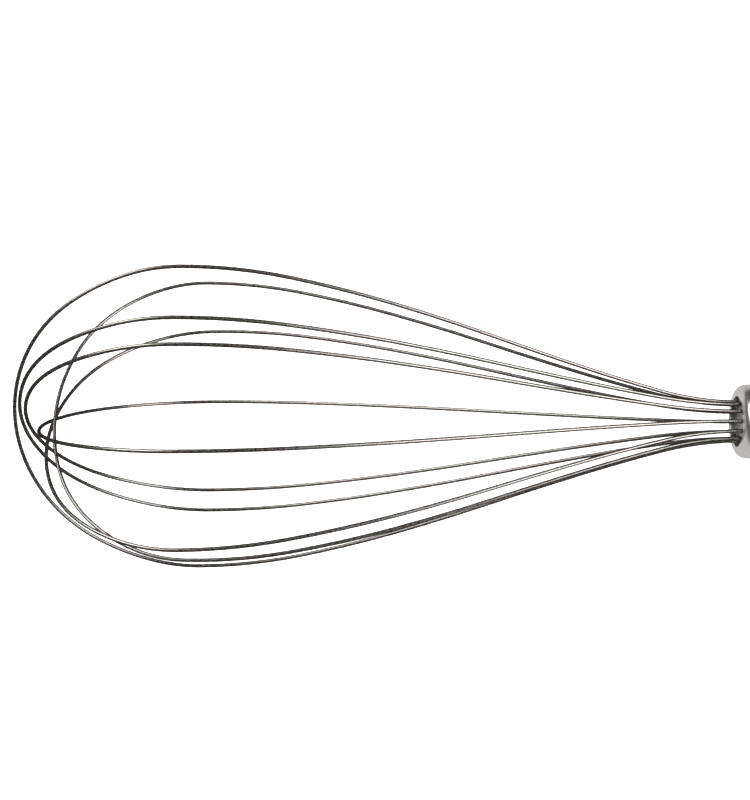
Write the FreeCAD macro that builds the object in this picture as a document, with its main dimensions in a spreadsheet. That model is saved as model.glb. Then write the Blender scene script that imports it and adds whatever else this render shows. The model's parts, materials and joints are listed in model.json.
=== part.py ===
"""Balloon whisk: six wire loops held by a plug in a hollow steel handle, with a hanging ring.

The whisk's own axis is X. The loops reach towards -X and the handle towards +X. Every piece is
made along that axis, from the front of the handle's nose, and then the whole whisk is laid on a
table at Z = 0, resting on its lowest wires and on the rounded end of its handle.
"""
import FreeCAD, Part

import math
import os

import Sketcher

LOOP_COUNT = 6
LEG_COUNT = 2 * LOOP_COUNT
BEND_SAMPLES = 60
FLARE_BENDS = 3                    # pairs of arcs in a leg's flare
CROWN_BENDS = 2                    # pairs of arcs from the widest place to the tip
STRAIGHT_ENOUGH = 1e-9
SAME_POINT = 1e-6                  # in mm
SAME_EDGE = 1e-3                   # in mm, between where an edge is and where it's looked for
FULL_TURN = 360
QUARTER_TURN = 90
STEEPEST_TILT = 30.0               # degrees, steeper than the whisk can ever lie
TILT_HALVINGS = 50

DIMENSIONS = [
    # the wires, all from one stock
    ("wire_diameter", "1.2"),
    ("nesting_gap", "0.3"),        # between one loop and the next one inside it, at the tip
    ("reach", "229"),              # plug face to the tip of the longest loop
    ("half_width", "53.4"),        # whisk axis to a wire at the widest place
    ("crown_depth", "54.2"),       # widest place to the tip of the longest loop
    ("flare_pull", "41.6"),        # how long a leg stays close to the axis
    ("belly_pull", "60.6"),        # how long a leg stays close to its full width
    ("shoulder_pull", "15"),       # roundness of the tip, along the axis
    ("crown_pull", "41.6"),        # roundness of the tip, across the axis
    ("leg_depth", "28"),           # plug face to the buried end of a leg
    # the plug that spaces the legs, and what seals them
    ("leg_land", "0.7"),           # between a leg's hole and the plug's rounded edge
    ("leg_circle_turn", "21.9"),
    ("bond_gap", "0.02"),          # round each leg, in the plug, the resin and the beads
    ("plug_recess", "1.6"),        # nose front to plug face
    ("plug_flange", "3"),
    ("plug_rounding", "0.4"),
    ("plug_clearance", "0.05"),
    ("bead_width", "0.5"),
    ("bead_lip", "0.12"),
    ("bead_height", "0.7"),
    ("resin_length", "24"),
    # the handle
    ("mouth_radius", "8"),
    ("nose_width", "3.8"),         # from the mouth to the outside of the nose
    ("nose_thickness", "4.4"),
    ("lip_rounding", "0.6"),
    ("handle_length", "126"),
    ("handle_swell", "1.5"),       # how far the grip bulges from a straight line
    ("rear_radius", "11.4"),
    ("wall", "1"),
    # the end cap, its lug and the ring
    ("cap_clearance", "0.03"),
    ("spigot_length", "9"),
    ("spigot_wall", "1.2"),
    ("cap_height", "6"),
    ("cap_floor", "2"),
    ("cap_rounding", "4.5"),
    ("lug_root", "1"),             # how far the lug starts inside the cap
    ("lug_reach", "5"),            # cap end to the hole in the lug
    ("lug_rim", "2.3"),            # round the lug's hole
    ("lug_thickness", "3"),
    ("lug_rounding", "0.6"),
    ("ring_clearance", "0.7"),     # all round the ring's wire, in the lug's hole
    ("ring_wire_diameter", "2.4"),
    ("ring_radius", "11.5"),       # centre line
]

# Each loop's turn about the whisk axis, in degrees, and how far its tip stands off that axis,
# within the loop's own plane and square to it. The loops are bent and set by hand, so no two sit
# quite alike.
LOOP_SETTINGS = [
    ("51.9", "5.4", "13.4"),
    ("78.8", "8.5", "7.2"),
    ("87.7", "7.2", "5.5"),
    ("121.5", "-3.5", "1.8"),
    ("153.7", "-0.6", "6.2"),
    ("170.6", "-6.8", "4.2"),
]

DERIVED = [
    ("wire_radius", "=wire_diameter / 2"),
    ("belly_distance", "=reach - crown_depth"),
    ("nesting_step", "=wire_diameter + nesting_gap"),
    ("leg_hole_radius", "=wire_radius + bond_gap"),
    ("leg_end", "=plug_recess + leg_depth"),
    ("nose_radius", "=mouth_radius + nose_width"),
    ("nose_rounding", "=nose_width - lip_rounding"),
    ("inner_nose_radius", "=nose_radius - wall"),
    ("inner_rear_radius", "=rear_radius - wall"),
    ("grip_arc_radius", "=(handle_length^2 / 4 + handle_swell^2) / (2 * handle_swell)"),
    ("plug_boss_radius", "=mouth_radius - plug_clearance"),
    ("leg_circle_radius", "=plug_boss_radius - plug_rounding - leg_land - leg_hole_radius"),
    ("plug_flange_radius", "=inner_nose_radius - plug_clearance"),
    ("plug_seat", "=nose_thickness + plug_clearance"),
    ("plug_back", "=plug_seat + plug_flange"),
    ("resin_front", "=plug_back + bond_gap"),
    ("resin_back", "=resin_front + resin_length"),
    ("bead_foot_radius", "=leg_hole_radius + bead_width"),
    ("bead_tip_radius", "=leg_hole_radius + bead_lip"),
    ("spigot_radius", "=inner_rear_radius - cap_clearance"),
    ("spigot_bore", "=spigot_radius - spigot_wall"),
    ("spigot_front", "=handle_length - spigot_length"),
    ("cap_face", "=handle_length + cap_clearance"),
    ("cap_end", "=handle_length + cap_height"),
    ("cap_hollow_end", "=cap_end - cap_floor"),
    ("lug_start", "=cap_end - lug_root"),
    ("lug_hole_x", "=cap_end + lug_reach"),
    ("lug_hole_radius", "=ring_wire_radius + ring_clearance"),
    ("lug_radius", "=lug_hole_radius + lug_rim"),
    ("ring_wire_radius", "=ring_wire_diameter / 2"),
]

doc = FreeCAD.newDocument("balloon_whisk")
sheet = doc.addObject("Spreadsheet::Sheet", "sizes")


def fill_sheet():
    """Put every dimension in the sheet, one to a row, under its own alias."""
    rows = list(DIMENSIONS)
    for number, (turn, slide, lean) in enumerate(LOOP_SETTINGS, start=1):
        rows.append((f"turn_{number}", turn))
        rows.append((f"slide_{number}", slide))
        rows.append((f"lean_{number}", lean))
    rows.extend(DERIVED)
    for row, (alias, content) in enumerate(rows, start=1):
        sheet.set(f"A{row}", alias)
        sheet.setAlias(f"B{row}", alias)
    for row, (alias, content) in enumerate(rows, start=1):
        sheet.set(f"B{row}", content)
    doc.recompute()


def size(alias):
    return float(getattr(sheet, alias))


def value_of(expression):
    return float(sheet.evalExpression(expression))


# ---------------------------------------------------------------- bodies and sketches

def new_body(label):
    body = doc.addObject("PartDesign::Body", label)
    body.Label = label
    return body


def origin_feature(body, role):
    for feature in body.Origin.OriginFeatures:
        if feature.Role == role:
            return feature
    raise RuntimeError(f"{body.Label} has no {role}")


def new_sketch(body, name, plane):
    sketch = body.newObject("Sketcher::SketchObject", name)
    sketch.AttachmentSupport = [(origin_feature(body, plane), "")]
    sketch.MapMode = "FlatFace"
    return sketch


def bind(sketch, kind, geometry, expression):
    """Add a constraint on the geometry, whose value is an expression over the sheet."""
    constraint = Sketcher.Constraint(kind, *geometry, value_of(expression))
    number = sketch.addConstraint(constraint)
    sketch.setExpression(f"Constraints[{number}]", expression)


def hold_point(sketch, point, across, along):
    """Hold a point of the sketch at (across, along), where "0" means on that axis."""
    horizontal_axis, vertical_axis = -1, -2
    origin = (-1, 1)
    if across == "0":
        sketch.addConstraint(Sketcher.Constraint("PointOnObject", *point, vertical_axis))
    else:
        bind(sketch, "DistanceX", (*origin, *point), across)
    if along == "0":
        sketch.addConstraint(Sketcher.Constraint("PointOnObject", *point, horizontal_axis))
    else:
        bind(sketch, "DistanceY", (*origin, *point), along)


def crowned_arc(start, end, radius):
    """The arc between two points, of a large radius, that bulges towards +Y. It runs
    anticlockwise, as a sketch needs, and so from the point that is further along X."""
    left, right = sorted((start, end), key=lambda point: point.x)
    chord = right - left
    drop = math.sqrt(radius ** 2 - (chord.Length / 2) ** 2)
    upwards = FreeCAD.Vector(-chord.y, chord.x, 0).normalize()
    centre = (left + right) * 0.5 - upwards * drop
    first = math.atan2(right.y - centre.y, right.x - centre.x)
    last = math.atan2(left.y - centre.y, left.x - centre.x)
    whole = Part.Circle(centre, FreeCAD.Vector(0, 0, 1), radius)
    return Part.ArcOfCircle(whole, first, last)


def outline(sketch, corners, arcs=None):
    """A closed outline through the corners, given as pairs of sheet expressions. arcs maps the
    number of a side's first corner to the radius of its arc."""
    arcs = arcs or {}
    places = [FreeCAD.Vector(value_of(x), value_of(y), 0) for x, y in corners]
    ends = []
    for number, start in enumerate(places):
        end = places[(number + 1) % len(places)]
        if number in arcs:
            sketch.addGeometry(crowned_arc(start, end, value_of(arcs[number])))
        else:
            sketch.addGeometry(Part.LineSegment(start, end))
        starts_here = sketch.Geometry[number].StartPoint.distanceToPoint(start) < SAME_POINT
        ends.append((1, 2) if starts_here else (2, 1))
    for number, corner in enumerate(corners):
        following = (number + 1) % len(corners)
        last_point = (number, ends[number][1])
        first_point = (following, ends[following][0])
        sketch.addConstraint(Sketcher.Constraint("Coincident", *last_point, *first_point))
        hold_point(sketch, (number, ends[number][0]), *corner)
    for number, radius in arcs.items():
        bind(sketch, "Radius", (number,), radius)


def circle(sketch, across, along, radius):
    centre = FreeCAD.Vector(value_of(across), value_of(along), 0)
    normal = FreeCAD.Vector(0, 0, 1)
    number = sketch.addGeometry(Part.Circle(centre, normal, value_of(radius)))
    hold_point(sketch, (number, 3), across, along)
    bind(sketch, "Radius", (number,), radius)


def revolve(body, name, corners, arcs=None):
    """A solid of revolution about the whisk axis, from corners (along X, away from X)."""
    sketch = new_sketch(body, f"{name}_profile", "XY_Plane")
    outline(sketch, corners, arcs)
    feature = body.newObject("PartDesign::Revolution", name)
    feature.Profile = sketch
    feature.ReferenceAxis = (sketch, ["H_Axis"])
    feature.Angle = FULL_TURN
    doc.recompute()
    return feature


def leg_holes(body, name):
    """A ring of holes for the legs, right through the body."""
    sketch = new_sketch(body, f"{name}_circle", "YZ_Plane")
    across = "sizes.leg_circle_radius * cos(sizes.leg_circle_turn)"
    along = "sizes.leg_circle_radius * sin(sizes.leg_circle_turn)"
    circle(sketch, across, along, "sizes.leg_hole_radius")
    hole = body.newObject("PartDesign::Pocket", name)
    hole.Profile = sketch
    hole.Type = "ThroughAll"
    hole.Midplane = True
    doc.recompute()
    pattern = body.newObject("PartDesign::PolarPattern", f"{name}_pattern")
    pattern.Originals = [hole]
    pattern.Axis = (origin_feature(body, "X_Axis"), [""])
    pattern.Angle = FULL_TURN
    pattern.Occurrences = LEG_COUNT
    body.Tip = pattern
    doc.recompute()
    return pattern


def round_edges(body, name, base, wanted, radius):
    """Fillet the edges of base for which wanted(edge) is true."""
    names = [f"Edge{n}" for n, edge in enumerate(base.Shape.Edges, start=1) if wanted(edge)]
    if not names:
        raise RuntimeError(f"{name}: no edge to round")
    fillet = body.newObject("PartDesign::Fillet", name)
    fillet.Base = (base, names)
    fillet.setExpression("Radius", radius)
    doc.recompute()
    return fillet


def is_ring_at(edge, x, radius):
    """Whether the edge is a circle round the whisk axis, at x and of the radius."""
    if not isinstance(edge.Curve, Part.Circle):
        return False
    same_place = abs(edge.Curve.Center.x - x) < SAME_EDGE
    return same_place and abs(edge.Curve.Radius - radius) < SAME_EDGE


# ---------------------------------------------------------------- the wire loops

def across_axis(degrees):
    """The direction at right angles to the whisk axis, turned from +Y towards +Z."""
    angle = math.radians(degrees)
    return FreeCAD.Vector(0, math.cos(angle), math.sin(angle))


def leg_curves(number, side):
    """The two curves of a leg, from the plug face out to the loop's tip. side is 1 or -1."""
    turn = size(f"turn_{number}")
    in_plane = across_axis(turn)
    out_of_plane = across_axis(turn + QUARTER_TURN)
    stand_off = in_plane * size(f"slide_{number}") + out_of_plane * size(f"lean_{number}")
    reach = size("reach") - (number - 1) * size("nesting_step")
    belly = size("belly_distance")
    half_width = in_plane * (side * size("half_width"))
    crown = in_plane * (side * size("crown_pull"))
    hole_turn = size("leg_circle_turn") + (number - 1) * FULL_TURN / LEG_COUNT
    hole = across_axis(hole_turn) * (side * size("leg_circle_radius"))

    def at(distance, offset):
        """A point at a distance from the plug face, offset from the loop's own centre line."""
        forward = FreeCAD.Vector(size("plug_recess") - distance, 0, 0)
        return forward + stand_off * (distance / size("reach")) + offset

    plug_face = FreeCAD.Vector(size("plug_recess"), 0, 0)
    flare_end = plug_face - FreeCAD.Vector(size("flare_pull"), 0, 0)
    flare = Part.BezierCurve()
    flare.setPoles([
        plug_face + hole,
        flare_end + hole,
        at(belly - size("belly_pull"), half_width),
        at(belly, half_width),
    ])
    crown_curve = Part.BezierCurve()
    crown_curve.setPoles([
        at(belly, half_width),
        at(belly + size("shoulder_pull"), half_width),
        at(reach, crown),
        at(reach, FreeCAD.Vector()),
    ])
    return flare, crown_curve


def bend_points(number):
    """Points along a whole loop, each with the wire's direction there, in order from the first
    leg's start at the plug face to the second leg's."""
    stations = []
    for side in (1, -1):
        leg = []
        for curve, parts in zip(leg_curves(number, side), (FLARE_BENDS, CROWN_BENDS)):
            for step in range(parts):
                leg.append((curve.value(step / parts), curve.tangent(step / parts)[0]))
        stations.append(leg)
    out_leg, back_leg = stations
    crown = leg_curves(number, 1)[1]
    tip = (crown.value(1), crown.tangent(1)[0])
    return out_leg + [tip] + [(point, direction * -1) for point, direction in reversed(back_leg)]


def bend_to(start, direction, end):
    """The arc that leaves start in the direction and reaches end, as its centre, axis and angle
    in degrees."""
    chord = end - start
    axis = direction.cross(chord).normalize()
    inward = axis.cross(direction)
    radius = chord.dot(chord) / (2 * chord.dot(inward))
    angle = 2 * math.atan2(chord.dot(inward), chord.dot(direction))
    return start + inward * radius, axis, math.degrees(angle)


def bends_between(first, second):
    """Two arcs, tangent to each other, from one point and direction to another."""
    (start, out), (end, arrival) = first, second
    gap = end - start
    turning = 2 * (1 - out.dot(arrival))
    along = 2 * gap.dot(out + arrival)
    if turning < STRAIGHT_ENOUGH:
        pull = gap.dot(gap) / along
    else:
        pull = (math.sqrt(along ** 2 + 4 * turning * gap.dot(gap)) - along) / (2 * turning)
    middle = (start + end + (out - arrival) * pull) * 0.5
    bend = bend_to(start, out, middle)
    halfway = FreeCAD.Rotation(bend[1], bend[2]).multVec(out)
    return [bend, bend_to(middle, halfway, end)]


def loop_bends(number):
    """Where a loop's first leg leaves the plug face, and all its bends in order."""
    stations = bend_points(number)
    bends = []
    for first, second in zip(stations, stations[1:]):
        bends.extend(bends_between(first, second))
    return stations[0][0], bends


def turned(point, bend, share=1.0):
    """The point carried round a bend, or round a share of it."""
    centre, axis, angle = bend
    return centre + FreeCAD.Rotation(axis, angle * share).multVec(point - centre)


def make_wire_loop(number):
    """One loop of round wire: straight ends that sit in the handle, and arcs between them that
    follow the loop's curves. Each piece of the wire carries on from the end of the last."""
    entry, bends = loop_bends(number)
    buried = FreeCAD.Vector(size("leg_end") - entry.x, 0, 0)
    rim = Part.Circle(entry + buried, FreeCAD.Vector(-1, 0, 0), size("wire_radius")).toShape()
    faces = [Part.Face(Part.Wire([rim])), rim.extrude(buried * -1)]
    rim = rim.translated(buried * -1)
    for bend in bends:
        faces.append(rim.revolve(*bend))
        rim = rim.rotated(*bend)
    faces.append(rim.extrude(buried))
    rim = rim.translated(buried)
    faces.append(Part.Face(Part.Wire([rim])))
    skin = Part.makeShell([face for group in faces for face in group.Faces])
    skin.sewShape()
    wire = Part.Solid(skin)
    if wire.Volume < 0:
        wire.reverse()
    if not wire.isValid():
        raise RuntimeError(f"wire loop {number} isn't one closed piece")
    loop = doc.addObject("Part::Feature", f"wire_loop_{number}")
    loop.Label = f"wire_loop_{number}"
    loop.Shape = wire
    return loop


# ---------------------------------------------------------------- plug, resin and beads

def make_wire_plug():
    """The stepped disc that spaces the legs and seats behind the handle's nose."""
    body = new_body("wire_plug")
    disc = revolve(body, "disc", [
        ("sizes.plug_recess", "0"),
        ("sizes.plug_recess", "sizes.plug_boss_radius"),
        ("sizes.plug_seat", "sizes.plug_boss_radius"),
        ("sizes.plug_seat", "sizes.plug_flange_radius"),
        ("sizes.plug_back", "sizes.plug_flange_radius"),
        ("sizes.plug_back", "0"),
    ])

    def front_edge(edge):
        return is_ring_at(edge, size("plug_recess"), size("plug_boss_radius"))

    round_edges(body, "boss_rounding", disc, front_edge, "sizes.plug_rounding")
    leg_holes(body, "leg_hole")
    return body


def make_resin_fill():
    """The resin cast behind the plug, which locks the legs' ends in the handle."""
    body = new_body("resin_fill")
    revolve(body, "casting", [
        ("sizes.resin_front", "0"),
        ("sizes.resin_front", "sizes.plug_flange_radius"),
        ("sizes.resin_back", "sizes.plug_flange_radius"),
        ("sizes.resin_back", "0"),
    ])
    leg_holes(body, "leg_channel")
    return body


def make_seal_beads():
    """A bead of sealant round each leg where it leaves the plug, all in one node."""
    facing = FreeCAD.Rotation(FreeCAD.Vector(0, 0, 1), FreeCAD.Vector(-1, 0, 0))
    base_x = size("plug_recess") - size("bond_gap")
    beads = []
    for number in range(LEG_COUNT):
        turn = size("leg_circle_turn") + number * FULL_TURN / LEG_COUNT
        foot = FreeCAD.Vector(base_x, 0, 0) + across_axis(turn) * size("leg_circle_radius")
        cone = doc.addObject("Part::Cone", f"bead_cone_{number}")
        cone.setExpression("Radius1", "sizes.bead_foot_radius")
        cone.setExpression("Radius2", "sizes.bead_tip_radius")
        cone.setExpression("Height", "sizes.bead_height")
        cone.Placement = FreeCAD.Placement(foot, facing)
        bore = doc.addObject("Part::Cylinder", f"bead_bore_{number}")
        bore.setExpression("Radius", "sizes.leg_hole_radius")
        bore.setExpression("Height", "sizes.bead_height")
        bore.Placement = cone.Placement
        bead = doc.addObject("Part::Cut", f"bead_{number}")
        bead.Base = cone
        bead.Tool = bore
        beads.append(bead)
    group = doc.addObject("Part::Compound", "seal_beads")
    group.Label = "seal_beads"
    group.Links = beads
    doc.recompute()
    return group


# ---------------------------------------------------------------- handle, cap and ring

def make_handle_tube():
    """The hollow grip, with its rounded nose turned in round the mouth."""
    body = new_body("handle_tube")
    shell = revolve(body, "shell", [
        ("0", "sizes.mouth_radius"),
        ("0", "sizes.nose_radius"),
        ("sizes.handle_length", "sizes.rear_radius"),
        ("sizes.handle_length", "sizes.inner_rear_radius"),
        ("sizes.nose_thickness", "sizes.inner_nose_radius"),
        ("sizes.nose_thickness", "sizes.mouth_radius"),
    ], arcs={1: "sizes.grip_arc_radius", 3: "sizes.grip_arc_radius"})

    def nose_edge(edge):
        return is_ring_at(edge, 0, size("nose_radius"))

    def lip_edge(edge):
        return is_ring_at(edge, 0, size("mouth_radius"))

    rounded = round_edges(body, "nose_round", shell, nose_edge, "sizes.nose_rounding")
    round_edges(body, "lip_round", rounded, lip_edge, "sizes.lip_rounding")
    return body


def make_end_cap():
    """The cap that closes the grip: a hollow spigot, a rounded end and a flat lug with a hole."""
    body = new_body("end_cap")
    cup = revolve(body, "cup", [
        ("sizes.spigot_front", "sizes.spigot_bore"),
        ("sizes.spigot_front", "sizes.spigot_radius"),
        ("sizes.cap_face", "sizes.spigot_radius"),
        ("sizes.cap_face", "sizes.rear_radius"),
        ("sizes.cap_end", "sizes.rear_radius"),
        ("sizes.cap_end", "0"),
        ("sizes.cap_hollow_end", "0"),
        ("sizes.cap_hollow_end", "sizes.spigot_bore"),
    ])

    def outer_edge(edge):
        return is_ring_at(edge, size("cap_end"), size("rear_radius"))

    round_edges(body, "end_round", cup, outer_edge, "sizes.cap_rounding")

    blade = new_sketch(body, "lug_blade", "XZ_Plane")
    outline(blade, [
        ("sizes.lug_start", "-sizes.lug_radius"),
        ("sizes.lug_hole_x", "-sizes.lug_radius"),
        ("sizes.lug_hole_x", "sizes.lug_radius"),
        ("sizes.lug_start", "sizes.lug_radius"),
    ])
    nose = new_sketch(body, "lug_nose", "XZ_Plane")
    circle(nose, "sizes.lug_hole_x", "0", "sizes.lug_radius")
    for name, sketch in (("lug_web", blade), ("lug_end", nose)):
        pad = body.newObject("PartDesign::Pad", name)
        pad.Profile = sketch
        pad.Midplane = True
        pad.setExpression("Length", "sizes.lug_thickness")
        doc.recompute()

    def lug_edge(edge):
        if not isinstance(edge.Curve, Part.Circle):
            return False
        return abs(edge.Curve.Radius - size("lug_radius")) < SAME_EDGE

    round_edges(body, "lug_round", pad, lug_edge, "sizes.lug_rounding")

    eye = new_sketch(body, "lug_eye", "XZ_Plane")
    circle(eye, "sizes.lug_hole_x", "0", "sizes.lug_hole_radius")
    hole = body.newObject("PartDesign::Pocket", "lug_hole")
    hole.Profile = eye
    hole.Type = "ThroughAll"
    hole.Midplane = True
    doc.recompute()
    return body


def make_hanging_ring():
    ring = doc.addObject("Part::Torus", "hanging_ring")
    ring.Label = "hanging_ring"
    ring.setExpression("Radius1", "sizes.ring_radius")
    ring.setExpression("Radius2", "sizes.ring_wire_radius")
    doc.recompute()
    return ring


# ---------------------------------------------------------------- laying the whisk down

def loop_points():
    """Points along the centre lines of all the loops."""
    points = []
    for number in range(1, LOOP_COUNT + 1):
        point, bends = loop_bends(number)
        for bend in bends:
            points.extend(turned(point, bend, n / BEND_SAMPLES) for n in range(BEND_SAMPLES))
            point = turned(point, bend)
    return points


def tilt_rotation(degrees):
    """A turn about Y that lowers the handle and raises the loops."""
    return FreeCAD.Rotation(FreeCAD.Vector(0, 1, 0), degrees)


def lowest_of_loops(points, rotation):
    return min(rotation.multVec(point).z for point in points) - size("wire_radius")


def lowest_of_cap(rotation):
    rounding = size("cap_rounding")
    centre = FreeCAD.Vector(size("cap_end") - rounding, 0, rounding - size("rear_radius"))
    return rotation.multVec(centre).z - rounding


def resting_tilt(points):
    """The tilt, in degrees, at which the loops and the handle's end touch the table together."""
    level, steep = 0.0, STEEPEST_TILT
    for _ in range(TILT_HALVINGS):
        tilt = (level + steep) / 2
        rotation = tilt_rotation(tilt)
        if lowest_of_loops(points, rotation) < lowest_of_cap(rotation):
            level = tilt
        else:
            steep = tilt
    return tilt


def lay_down(pieces, ring):
    """Place every piece so that the whisk lies on Z = 0, centred on the origin in X and Y, with
    the ring hanging from its lug down to the table."""
    points = loop_points()
    rotation = tilt_rotation(resting_tilt(points))
    lift = -lowest_of_cap(rotation)
    hinge = rotation.multVec(FreeCAD.Vector(size("lug_hole_x"), 0, 0))
    hinge.z += lift
    ring_radius = size("ring_radius")
    droop = math.asin((hinge.z - size("ring_wire_radius")) / (2 * ring_radius))
    ring_end = hinge.x + 2 * ring_radius * math.cos(droop) + size("ring_wire_radius")
    placed = [rotation.multVec(point) for point in points]
    tip = min(point.x for point in placed) - size("wire_radius")
    left = min(point.y for point in placed)
    right = max(point.y for point in placed)
    shift = FreeCAD.Vector(-(tip + ring_end) / 2, -(left + right) / 2, 0)
    for piece in pieces:
        piece.Placement = FreeCAD.Placement(shift + FreeCAD.Vector(0, 0, lift), rotation)
    hanging = tilt_rotation(math.degrees(droop))
    centre = hinge + shift + hanging.multVec(FreeCAD.Vector(ring_radius, 0, 0))
    ring.Placement = FreeCAD.Placement(centre, hanging)
    doc.recompute()


def check_document():
    for item in doc.Objects:
        for state in ("Invalid", "Error"):
            if state in item.State:
                raise RuntimeError(f"{item.Label} is in state {state}")


def export(nodes):
    os.makedirs("parts", exist_ok=True)
    for node in nodes:
        if node.Shape.isNull() or not node.Shape.isValid():
            raise RuntimeError(f"{node.Label} has no valid shape")
        node.Shape.exportStep(f"parts/{node.Label}.step")


def main():
    fill_sheet()
    pieces = [make_wire_loop(number) for number in range(1, LOOP_COUNT + 1)]
    pieces.append(make_wire_plug())
    pieces.append(make_resin_fill())
    pieces.append(make_seal_beads())
    pieces.append(make_handle_tube())
    pieces.append(make_end_cap())
    ring = make_hanging_ring()
    lay_down(pieces, ring)
    check_document()
    export(pieces + [ring])


main()
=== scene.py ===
"""Balloon whisk: the finishes of its wires, plug, handle, cap and ring, and the studio round it.

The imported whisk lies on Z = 0 with its loops towards -X and its hanging ring towards +X, and the
studio's floor is a little lower, so that the ring can swing clear of it. Everything here is in
metres, in the same frame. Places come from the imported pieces.
"""

import json
import math

import bmesh
import bpy
from bpy.props import FloatProperty, FloatVectorProperty, PointerProperty
from bpy.types import Operator, Panel, PropertyGroup
from mathutils import Matrix, Vector

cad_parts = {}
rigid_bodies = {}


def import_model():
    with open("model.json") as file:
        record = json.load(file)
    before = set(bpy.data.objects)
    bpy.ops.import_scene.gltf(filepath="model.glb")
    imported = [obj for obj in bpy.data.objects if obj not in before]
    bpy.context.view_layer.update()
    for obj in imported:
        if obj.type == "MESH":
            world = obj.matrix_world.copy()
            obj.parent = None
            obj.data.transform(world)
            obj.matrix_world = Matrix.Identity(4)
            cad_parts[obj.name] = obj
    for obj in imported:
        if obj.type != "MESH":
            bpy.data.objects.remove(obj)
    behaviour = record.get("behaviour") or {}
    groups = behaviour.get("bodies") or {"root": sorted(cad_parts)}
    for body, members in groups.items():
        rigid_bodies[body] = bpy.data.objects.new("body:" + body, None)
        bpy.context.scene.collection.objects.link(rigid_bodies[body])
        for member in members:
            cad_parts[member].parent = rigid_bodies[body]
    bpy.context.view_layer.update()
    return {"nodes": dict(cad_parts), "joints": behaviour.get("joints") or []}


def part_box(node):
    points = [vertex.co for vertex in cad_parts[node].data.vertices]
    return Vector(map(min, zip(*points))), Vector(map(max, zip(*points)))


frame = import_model()

bl_info = {
    "name": "Balloon whisk",
    "version": (1, 0, 0),
    "blender": (4, 5, 0),
    "location": "3D View > Sidebar > Whisk",
    "description": "Steel, polymer and sealant finishes for a balloon whisk, with its studio",
    "category": "Object",
}

LOOPS = [f"wire_loop_{number}" for number in range(1, 7)]
HINGE = Vector(frame["joints"][0]["pos_m"])
SENSOR_MM = 36.0
NEAREST_SEEN = 0.01
BACKDROP_SIDES = 64
CAP_TURNED_BEYOND = 0.02

# Sockets of a Mix node that have no name of their own: for colours, then for plain values.
FIRST_COLOUR, SECOND_COLOUR, MIXED_COLOUR = 6, 7, 2
SHARE, FIRST_VALUE, SECOND_VALUE, MIXED_VALUE = 0, 2, 3, 0

# How much closer together a noise's features lie along X, Y and Z of the whisk's axis.
DRAWN_LINES = (0.04, 1, 1)
LENGTHWISE_GRAIN = (0.012, 1, 1)
TURNED_RINGS = (1.6, 0.002, 0.002)
MOULD_RINGS = (0.01, 1, 1)
SCRATCHES = (1, 0.15, 1)
PATCH_STEP = (0.37, 0.11)
FILM_COARSENESS = 12
SCUFF_FINENESS = 9
TURNING_FADE = 0.002

# Features to the metre, and their depths in metres, of the pieces that have no setting for them.
PEEL, PEEL_DEPTH = 900, 0.00002
MOULD_RINGS_PER_METRE, MOULD_RING_DEPTH = 2600, 0.00001
DUST = 380
CLOUD = 160
BUBBLES, BUBBLE_DEPTH = 700.0, 0.00008
LUMPS, LUMP_DEPTH = 1100, 0.00015
HAZE, HAZE_DEPTH = 2400, 0.00003
SCRATCHES_PER_METRE, SCRATCH_DEPTH = 1500, 0.000008
RUB = 90


def middle(node):
    """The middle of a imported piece's box."""
    low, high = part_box(node)
    return (low + high) / 2


def whisk_tilt():
    """How far the whisk's axis dips from the plug to the ring's hinge, about +Y, in radians."""
    run = HINGE - middle("wire_plug")
    return math.atan2(-run.z, run.x)


TILT = whisk_tilt()
AXIS = Vector((math.cos(TILT), 0, -math.sin(TILT)))
NOSE_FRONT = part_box("handle_tube")[0]
HANDLE_LENGTH = (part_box("handle_tube")[1].x - NOSE_FRONT.x) / AXIS.x


# ---------------------------------------------------------------- putting a material together

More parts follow.
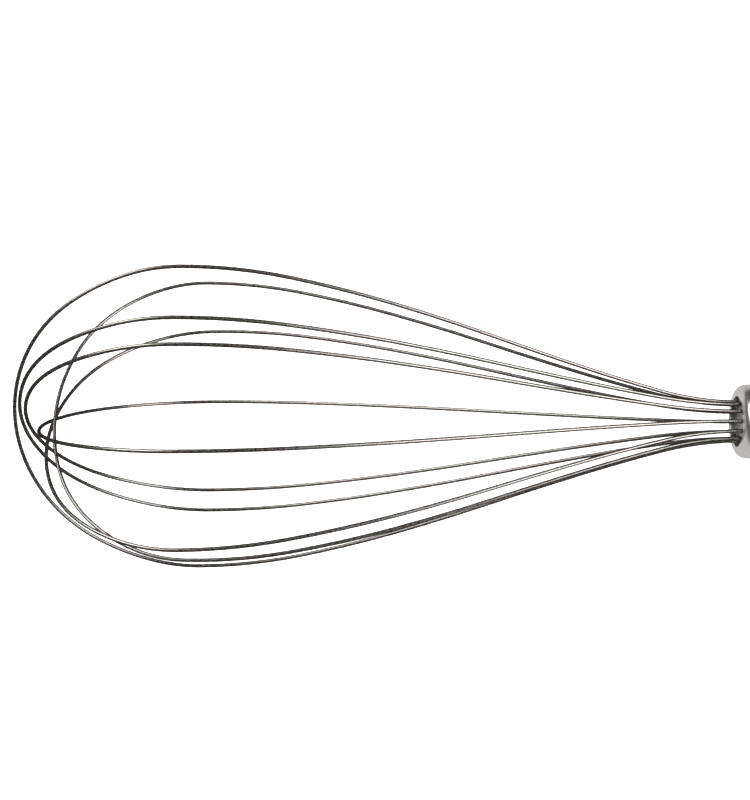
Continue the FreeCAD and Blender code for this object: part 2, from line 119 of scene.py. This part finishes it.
class Finish:
    """A material built round one Principled shader, with short ways to add nodes to it."""

    def __init__(self, name, colour, metallic, roughness):
        self.material = bpy.data.materials.new(name)
        self.material.use_nodes = True
        self.tree = self.material.node_tree
        self.shader = self.tree.nodes["Principled BSDF"]
        self.set("Base Color", (*colour, 1))
        self.set("Metallic", metallic)
        self.set("Roughness", roughness)

    def set(self, socket, value):
        self.shader.inputs[socket].default_value = value

    def add(self, kind, inputs=None, **settings):
        """Add a node. inputs maps a socket's name or number to a value or to another socket."""
        node = self.tree.nodes.new(kind)
        for key, value in settings.items():
            setattr(node, key, value)
        for key, value in (inputs or {}).items():
            if isinstance(value, bpy.types.NodeSocket):
                self.tree.links.new(value, node.inputs[key])
            else:
                node.inputs[key].default_value = value
        return node

    def drive(self, socket, source):
        self.tree.links.new(source, self.shader.inputs[socket])

    def along_whisk(self, start):
        """Coordinates whose X runs along the whisk's axis from a starting point on it."""
        place = self.add("ShaderNodeTexCoord").outputs["Object"]
        turned = self.add("ShaderNodeMapping", {"Vector": place, "Location": start,
                          "Rotation": (0, TILT, 0)}, vector_type="TEXTURE")
        return turned.outputs["Vector"]

    def noise(self, place, scale, detail=3.0, roughness=0.55, stretch=(1, 1, 1)):
        """A noise from 0 to 1, with scale features to the metre, closer where stretch is more."""
        wide = self.add("ShaderNodeMapping", {"Vector": place, "Scale": stretch})
        texture = self.add("ShaderNodeTexNoise", {"Vector": wide.outputs["Vector"],
                           "Scale": scale, "Detail": detail, "Roughness": roughness})
        return texture.outputs["Fac"]

    def between(self, source, low, high, start=0.3, end=0.7):
        """The source's range from start to end, spread from low to high."""
        spread = self.add("ShaderNodeMapRange", {"Value": source, "From Min": start,
                          "From Max": end, "To Min": low, "To Max": high})
        return spread.outputs["Result"]

    def blend(self, share, first, second):
        """A colour from first to second, each a colour or a socket, by the share."""
        mix = self.add("ShaderNodeMix", {"Factor": share}, data_type="RGBA")
        for number, value in ((FIRST_COLOUR, first), (SECOND_COLOUR, second)):
            socket = mix.inputs[number]
            if isinstance(value, bpy.types.NodeSocket):
                self.tree.links.new(value, socket)
            else:
                socket.default_value = (*value, 1)
        return mix.outputs[MIXED_COLOUR]

    def sum(self, *terms):
        total = terms[0]
        for term in terms[1:]:
            total = self.maths("ADD", total, term)
        return total

    def maths(self, operation, first, second):
        return self.add("ShaderNodeMath", {0: first, 1: second}, operation=operation).outputs[0]

    def part(self, place, letter):
        return self.add("ShaderNodeSeparateXYZ", {"Vector": place}).outputs[letter]

    def relief(self, *layers):
        """Bump layers, each (height source, depth in metres), one on another."""
        under = None
        for height, depth in layers:
            bump = self.add("ShaderNodeBump", {"Height": height, "Distance": depth})
            if under:
                self.tree.links.new(under, bump.inputs["Normal"])
            under = bump.outputs["Normal"]
        self.drive("Normal", under)

    def cover(self, node):
        """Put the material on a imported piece."""
        piece = frame["nodes"][node]
        piece.data.materials.clear()
        piece.data.materials.append(self.material)


# ---------------------------------------------------------------- the finishes

def drawn_wire(number, look):
    """Bright drawn steel, tinted a little by heat and use. Each loop has its own patches."""
    finish = Finish(f"drawn_wire_{number}", look.cool_tint, 1.0, 0.2)
    finish.set("Specular Tint", (*look.edge_tint, 1))
    here = finish.add("ShaderNodeTexCoord").outputs["Object"]
    offset = (PATCH_STEP[0] * number, PATCH_STEP[1] * number, 0)
    own_patch = finish.add("ShaderNodeVectorMath", {0: here, 1: offset},
                           operation="ADD").outputs[0]
    patches = finish.noise(own_patch, look.patches, detail=4.0)
    lines = finish.noise(own_patch, look.drawing_lines, detail=2.0, stretch=DRAWN_LINES)
    film = finish.noise(own_patch, look.drawing_lines / FILM_COARSENESS, detail=5.0, roughness=0.7)
    tone = finish.between(patches, 0, 1, start=0.38, end=0.62)
    clean = finish.blend(tone, look.cool_tint, look.warm_tint)
    worn = finish.blend(finish.between(film, 0, look.film, start=0.5, end=0.8), clean,
                        look.film_tint)
    finish.drive("Base Color", worn)
    satin = finish.between(lines, look.roughness * 0.7, look.roughness * 1.5)
    finish.drive("Roughness", finish.sum(satin, finish.between(film, 0, 0.08)))
    finish.relief((lines, look.line_depth), (film, look.line_depth * 2))
    return finish


def turned_and_brushed(name, look, start, turned_up_to, turned_beyond):
    """Satin steel: turned rings at the two ends of the stretch and lengthwise grain between."""
    finish = Finish(name, look.steel, 1.0, look.roughness)
    finish.set("Specular Tint", (*look.edge_tint, 1))
    place = finish.along_whisk(start)
    distance = finish.part(place, "X")
    grain = finish.noise(place, look.grain, detail=3.0, stretch=LENGTHWISE_GRAIN)
    rings = finish.noise(place, look.grain, detail=2.0, stretch=TURNED_RINGS)
    near = finish.between(distance, 1, 0, turned_up_to, turned_up_to + TURNING_FADE)
    far = finish.between(distance, 0, 1, turned_beyond - TURNING_FADE, turned_beyond)
    turned = finish.maths("MAXIMUM", near, far)
    mix = finish.add("ShaderNodeMix", {SHARE: turned, FIRST_VALUE: grain, SECOND_VALUE: rings})
    marks = mix.outputs[MIXED_VALUE]
    handling = finish.noise(place, look.smudges, detail=6.0, roughness=0.65)
    scuffs = finish.noise(place, look.smudges * SCUFF_FINENESS, detail=7.0, roughness=0.75)
    soil = finish.between(handling, 0, look.wear, start=0.45, end=0.75)
    shade = finish.blend(finish.between(marks, 0, 1), look.steel, look.steel_dark)
    finish.drive("Base Color", finish.blend(soil, shade, look.smudge_tint))
    satin = finish.between(marks, look.roughness * 0.75, look.roughness * 1.3)
    greasy = finish.between(handling, 0, look.wear * 0.25, start=0.4, end=0.7)
    scuffed = finish.between(scuffs, 0, 0.06, start=0.55, end=0.8)
    finish.drive("Roughness", finish.sum(satin, greasy, scuffed))
    finish.relief((marks, look.grain_depth), (scuffs, look.grain_depth * 0.8))
    return finish


def moulded_polymer(look):
    """The plug: a smooth moulding, with faint turning rings left by its mould."""
    finish = Finish("moulded_polymer", look.polymer, 0.0, 0.3)
    place = finish.along_whisk(middle("wire_plug"))
    peel = finish.noise(place, PEEL, detail=3.0)
    rings = finish.noise(place, MOULD_RINGS_PER_METRE, detail=1.0, stretch=MOULD_RINGS)
    dust = finish.noise(place, DUST, detail=6.0, roughness=0.7)
    finish.drive("Base Color", finish.blend(finish.between(dust, 0, 0.45, start=0.5, end=0.75),
                                            look.polymer, look.polymer_dusty))
    finish.drive("Roughness", finish.sum(finish.between(peel, 0.16, 0.3),
                                         finish.between(dust, 0, 0.2)))
    finish.relief((peel, PEEL_DEPTH), (rings, MOULD_RING_DEPTH))
    return finish


def cast_resin(look):
    """The resin behind the plug: cloudy, with small bubbles at its skin."""
    finish = Finish("cast_resin", look.resin, 0.0, 0.3)
    place = finish.along_whisk(middle("resin_fill"))
    cloud = finish.noise(place, CLOUD, detail=5.0)
    bubbles = finish.add("ShaderNodeTexVoronoi", {"Vector": place, "Scale": BUBBLES})
    finish.drive("Base Color", finish.blend(finish.between(cloud, 0, 1), look.resin,
                                            look.resin_dark))
    finish.drive("Roughness", finish.between(cloud, 0.2, 0.42))
    dimples = finish.between(bubbles.outputs["Distance"], 0, 1, start=0.0, end=0.25)
    finish.relief((dimples, BUBBLE_DEPTH))
    return finish


def bead_sealant(look):
    """The sealant round each leg: dark and glossy, wiped on by hand, so a little lumpy."""
    finish = Finish("bead_sealant", look.sealant, 0.0, 0.25)
    place = finish.along_whisk(middle("seal_beads"))
    lumps = finish.noise(place, LUMPS, detail=2.0)
    haze = finish.noise(place, HAZE, detail=5.0)
    finish.drive("Base Color", finish.blend(finish.between(haze, 0, 0.6), look.sealant,
                                            look.polymer_dusty))
    finish.drive("Roughness", finish.between(haze, 0.14, 0.4))
    finish.relief((lumps, LUMP_DEPTH), (haze, HAZE_DEPTH))
    return finish


def polished_ring(look):
    """The hanging ring: polished wire, rubbed by the lug and by hooks."""
    finish = Finish("polished_ring", look.steel, 1.0, 0.15)
    finish.set("Specular Tint", (*look.edge_tint, 1))
    place = finish.along_whisk(middle("hanging_ring"))
    scratches = finish.noise(place, SCRATCHES_PER_METRE, detail=6.0, roughness=0.8,
                             stretch=SCRATCHES)
    rub = finish.noise(place, RUB, detail=5.0)
    finish.drive("Base Color", finish.blend(finish.between(rub, 0, 1), look.steel,
                                            look.steel_dark))
    finish.drive("Roughness", finish.sum(finish.between(scratches, 0.08, 0.2),
                                         finish.between(rub, 0, 0.12)))
    finish.relief((scratches, SCRATCH_DEPTH))
    return finish


# ---------------------------------------------------------------- what a user would change

def colour(name, description, value):
    return FloatVectorProperty(name=name, description=description, default=value, size=3,
                               min=0.0, max=1.0, subtype="COLOR")


def amount(name, description, value):
    return FloatProperty(name=name, description=description, default=value, min=0.0, precision=3)


def length(name, description, value):
    return FloatProperty(name=name, description=description, default=value, min=0.0,
                         precision=6, unit="LENGTH")


def angle(name, description, degrees):
    return FloatProperty(name=name, description=description, default=math.radians(degrees),
                         subtype="ANGLE")


class WhiskWireLook(PropertyGroup):
    cool_tint: colour("Cool tint", "Steel where it has kept its grey-green", (0.50, 0.50, 0.44))
    warm_tint: colour("Warm tint", "Steel where heat has browned it", (0.54, 0.46, 0.45))
    film_tint: colour("Film tint", "The thin film left by washing", (0.30, 0.28, 0.24))
    edge_tint: colour("Edge tint", "What the steel reflects at a glancing angle",
                      (0.35, 0.34, 0.32))
    film: amount("Film", "How much of the film shows", 0.5)
    roughness: amount("Roughness", "How satin the wire is", 0.215)
    patches: amount("Patches", "Heat patches to the metre", 28.0)
    drawing_lines: amount("Drawing lines", "Fine lines to the metre, round the wire", 5200.0)
    line_depth: length("Line depth", "Depth of the drawing lines", 0.0000006)


class WhiskGripLook(PropertyGroup):
    steel: colour("Steel", "Clean stainless steel", (0.62, 0.61, 0.59))
    steel_dark: colour("Steel in the grain", "The steel down in the grain", (0.50, 0.49, 0.47))
    edge_tint: colour("Edge tint", "What the steel reflects at a glancing angle",
                      (0.80, 0.80, 0.79))
    smudge_tint: colour("Smudge tint", "Steel under a smudge", (0.44, 0.42, 0.39))
    wear: amount("Wear", "How much handling shows", 0.45)
    roughness: amount("Roughness", "How satin the steel is", 0.28)
    grain: amount("Grain", "Grain lines to the metre, across the grain", 3800.0)
    grain_depth: length("Grain depth", "Depth of the grain", 0.000006)
    smudges: amount("Smudges", "Smudges to the metre", 42.0)
    nose_turning: length("Nose turning", "How far the turned rings reach from the nose", 0.0075)
    tail_turning: length("Tail turning", "How far they reach from the other end", 0.003)


class WhiskPlugLook(PropertyGroup):
    polymer: colour("Polymer", "The plug", (0.060, 0.060, 0.052))
    polymer_dusty: colour("Dust", "Dust and dried wash water on the plug", (0.17, 0.165, 0.15))
    sealant: colour("Sealant", "The beads round the legs", (0.018, 0.018, 0.018))
    resin: colour("Resin", "The resin inside the handle", (0.42, 0.36, 0.24))
    resin_dark: colour("Dark resin", "The resin where it is cloudy", (0.26, 0.21, 0.13))


class WhiskStudio(PropertyGroup):
    floor_span: length("Floor span", "Side of the square floor", 12.0)
    floor_drop: length("Floor drop", "How far the floor lies below, clear of the swinging ring",
                       0.016)
    floor_colour: colour("Floor", "The floor's own colour", (0.93, 0.93, 0.93))
    floor_glow: amount("Floor glow", "Light that the floor gives of itself", 0.95)
    backdrop_radius: length("Backdrop radius", "From the whisk to the wall round it", 5.5)
    backdrop_height: length("Backdrop height", "Height of that wall", 6.0)
    backdrop_glow: amount("Backdrop glow", "Light that the wall gives of itself", 1.01)
    room: colour("Room", "The walls round the floor", (0.062, 0.060, 0.057))
    box_distance: length("Softbox distance", "From the whisk to each softbox", 1.15)
    left_width: length("Left softbox width", "Across the softbox by the loops", 0.85)
    left_power: amount("Left softbox power", "Power of the softbox by the loops, in watts", 5.8)
    left_azimuth: angle("Left softbox azimuth", "Where it stands, round from -Y", -116.0)
    left_elevation: angle("Left softbox elevation", "Its height above the floor", 56.0)
    right_width: length("Right softbox width", "Across the softbox by the handle", 0.85)
    right_power: amount("Right softbox power", "Power of the softbox by the handle, in watts", 5.8)
    right_azimuth: angle("Right softbox azimuth", "Where it stands, round from -Y", 76.0)
    right_elevation: angle("Right softbox elevation", "Its height above the floor", 36.0)
    overhead_width: length("Overhead softbox width", "Across the softbox over the handle", 1.4)
    overhead_power: amount("Overhead softbox power",
                           "Power of the softbox that lights all but the thin wires", 10.0)
    overhead_azimuth: angle("Overhead softbox azimuth", "Where it stands, round from -Y", -60.0)
    overhead_elevation: angle("Overhead softbox elevation", "Its height above the floor", 78.0)
    bounce_span: length("Bounce span", "Side of the lit floor that the handle mirrors", 2.4)
    bounce_power: amount("Bounce power", "Light the floor gives back to the handle, in watts", 17.0)
    bounce_height: length("Bounce height", "Height of that light over the floor", 0.0002)
    azimuth: angle("Azimuth", "Where the camera stands, round from -Y", 15.97)
    elevation: angle("Elevation", "Height of the camera above the floor", 65.0)
    roll: angle("Roll", "How far the camera is rolled", -17.45)
    aim: FloatVectorProperty(name="Aim", description="The point the camera looks at", size=3,
                             default=(-0.0823, 0.0057, 0.0375), subtype="XYZ", unit="LENGTH")
    distance: length("Distance", "From the camera to the point it looks at", 0.4469)
    lens: FloatProperty(name="Lens", description="Focal length", default=61.45,
                        unit="CAMERA", min=1.0)


# ---------------------------------------------------------------- operators

class WHISK_OT_wires(Operator):
    """Finish the six wire loops"""
    bl_idname = "whisk.wires"
    bl_label = "Wire loops"

    def execute(self, context):
        for number, node in enumerate(LOOPS, start=1):
            drawn_wire(number, context.scene.whisk_wires).cover(node)
        return {"FINISHED"}


class WHISK_OT_plug(Operator):
    """Finish the plug, the resin behind it and the beads round the legs"""
    bl_idname = "whisk.plug"
    bl_label = "Plug, resin and beads"

    def execute(self, context):
        look = context.scene.whisk_plug
        moulded_polymer(look).cover("wire_plug")
        cast_resin(look).cover("resin_fill")
        bead_sealant(look).cover("seal_beads")
        return {"FINISHED"}


class WHISK_OT_handle(Operator):
    """Finish the hollow handle"""
    bl_idname = "whisk.handle"
    bl_label = "Handle"

    def execute(self, context):
        look = context.scene.whisk_grip
        start = middle("wire_plug") - AXIS * (middle("wire_plug").x - NOSE_FRONT.x)
        finish = turned_and_brushed("brushed_handle", look, start, look.nose_turning,
                                    HANDLE_LENGTH - look.tail_turning)
        finish.cover("handle_tube")
        return {"FINISHED"}


class WHISK_OT_cap(Operator):
    """Finish the end cap and its lug"""
    bl_idname = "whisk.cap"
    bl_label = "End cap"

    def execute(self, context):
        look = context.scene.whisk_grip
        finish = turned_and_brushed("turned_cap", look, HINGE, 0.0, CAP_TURNED_BEYOND)
        finish.cover("end_cap")
        return {"FINISHED"}


class WHISK_OT_ring(Operator):
    """Finish the hanging ring"""
    bl_idname = "whisk.ring"
    bl_label = "Hanging ring"

    def execute(self, context):
        polished_ring(context.scene.whisk_grip).cover("hanging_ring")
        return {"FINISHED"}


def looking(azimuth, elevation):
    """The direction in which something at this azimuth and elevation looks at the whisk."""
    return Vector((-math.sin(azimuth) * math.cos(elevation),
                   math.cos(azimuth) * math.cos(elevation),
                   -math.sin(elevation)))


def stand(item, aim, azimuth, elevation, distance, roll=0.0):
    """Stand a light or the camera off from a point, facing it."""
    forward = looking(azimuth, elevation)
    level = Vector((math.cos(azimuth), math.sin(azimuth), 0))
    above = level.cross(forward)
    right = level * math.cos(roll) + above * math.sin(roll)
    turn = Matrix((right, right.cross(forward), -forward)).transposed()
    item.matrix_world = Matrix.Translation(aim - forward * distance) @ turn.to_4x4()


class WHISK_OT_studio(Operator):
    """Lay the pale floor, light the room and set up the camera"""
    bl_idname = "whisk.studio"
    bl_label = "Studio"

    def lay_floor(self, look, collection):
        half = look.floor_span / 2
        mesh = bpy.data.meshes.new("floor")
        corners = [(x, y, -look.floor_drop) for x, y in
                   ((-half, -half), (half, -half), (half, half), (-half, half))]
        mesh.from_pydata(corners, [], [(0, 1, 2, 3)])
        floor = bpy.data.objects.new("floor", mesh)
        finish = Finish("pale_floor", look.floor_colour, 0.0, 0.7)
        finish.set("Emission Color", (*look.floor_colour, 1))
        finish.set("Emission Strength", look.floor_glow)
        mesh.materials.append(finish.material)
        collection.objects.link(floor)
        floor.visible_glossy = False

    def hang_backdrop(self, look, collection):
        form = bmesh.new()
        bmesh.ops.create_cone(form, segments=BACKDROP_SIDES, radius1=look.backdrop_radius,
                              radius2=look.backdrop_radius, depth=look.backdrop_height,
                              matrix=Matrix.Translation((0, 0, look.backdrop_height / 2)))
        mesh = bpy.data.meshes.new("backdrop")
        form.to_mesh(mesh)
        form.free()
        finish = Finish("pale_backdrop", (0, 0, 0), 0.0, 1.0)
        finish.set("Specular IOR Level", 0.0)
        finish.set("Emission Color", (*look.floor_colour, 1))
        finish.set("Emission Strength", look.backdrop_glow)
        mesh.materials.append(finish.material)
        backdrop = bpy.data.objects.new("backdrop", mesh)
        collection.objects.link(backdrop)
        backdrop.visible_glossy = False
        backdrop.visible_diffuse = False
        backdrop.visible_shadow = False

    def light_room(self, look, scene):
        scene.world = bpy.data.worlds.new("room")
        scene.world.use_nodes = True
        backdrop = scene.world.node_tree.nodes["Background"]
        backdrop.inputs["Color"].default_value = (*look.room, 1)
        for side in ("left", "right", "overhead"):
            light = bpy.data.lights.new(f"softbox_{side}", "AREA")
            light.shape = "DISK"
            light.size = getattr(look, f"{side}_width")
            light.energy = getattr(look, f"{side}_power")
            softbox = bpy.data.objects.new(light.name, light)
            scene.collection.objects.link(softbox)
            stand(softbox, Vector(look.aim), getattr(look, f"{side}_azimuth"),
                  getattr(look, f"{side}_elevation"), look.box_distance)
        # What is left in softbox is the overhead one, which leaves the thin wires dark.
        lit = bpy.data.collections.new("all but the wires")
        for piece in scene.collection.objects:
            if piece.type == "MESH" and piece.name not in LOOPS:
                lit.objects.link(piece)
        softbox.light_linking.receiver_collection = lit
        bounce = bpy.data.lights.new("floor_bounce", "AREA")
        bounce.size = look.bounce_span
        bounce.energy = look.bounce_power
        glow = bpy.data.objects.new(bounce.name, bounce)
        scene.collection.objects.link(glow)
        height = look.bounce_height - look.floor_drop
        glow.matrix_world = Matrix.Translation((0, 0, height)) @ Matrix.Rotation(math.pi, 4, "X")
        glow.visible_camera = False
        glow.light_linking.receiver_collection = lit

    def set_camera(self, look, scene):
        data = bpy.data.cameras.new("camera")
        data.sensor_width = SENSOR_MM
        data.lens = look.lens
        data.clip_start = NEAREST_SEEN
        camera = bpy.data.objects.new("camera", data)
        scene.collection.objects.link(camera)
        stand(camera, Vector(look.aim), look.azimuth, look.elevation, look.distance, look.roll)
        scene.camera = camera

    def execute(self, context):
        scene = context.scene
        look = scene.whisk_studio
        self.lay_floor(look, scene.collection)
        self.hang_backdrop(look, scene.collection)
        self.light_room(look, scene)
        self.set_camera(look, scene)
        scene.view_settings.view_transform = "Standard"
        return {"FINISHED"}


STEPS = (WHISK_OT_wires, WHISK_OT_plug, WHISK_OT_handle, WHISK_OT_cap, WHISK_OT_ring,
         WHISK_OT_studio)
GROUPS = {"whisk_wires": WhiskWireLook, "whisk_grip": WhiskGripLook,
          "whisk_plug": WhiskPlugLook, "whisk_studio": WhiskStudio}


class WHISK_PT_panel(Panel):
    """The whisk's finishes and studio"""
    bl_idname = "WHISK_PT_panel"
    bl_label = "Balloon whisk"
    bl_space_type = "VIEW_3D"
    bl_region_type = "UI"
    bl_category = "Whisk"

    def draw(self, context):
        for step in STEPS:
            self.layout.operator(step.bl_idname)
        for group, kind in GROUPS.items():
            box = self.layout.box()
            for name in kind.__annotations__:
                box.prop(getattr(context.scene, group), name)


CLASSES = (*GROUPS.values(), *STEPS, WHISK_PT_panel)


def register():
    for kind in CLASSES:
        bpy.utils.register_class(kind)
    for group, kind in GROUPS.items():
        setattr(bpy.types.Scene, group, PointerProperty(type=kind))


def unregister():
    for group in GROUPS:
        delattr(bpy.types.Scene, group)
    for kind in reversed(CLASSES):
        bpy.utils.unregister_class(kind)


def main():
    register()
    bpy.ops.whisk.wires()
    bpy.ops.whisk.plug()
    bpy.ops.whisk.handle()
    bpy.ops.whisk.cap()
    bpy.ops.whisk.ring()
    bpy.ops.whisk.studio()


if __name__ == "__main__":
    main()
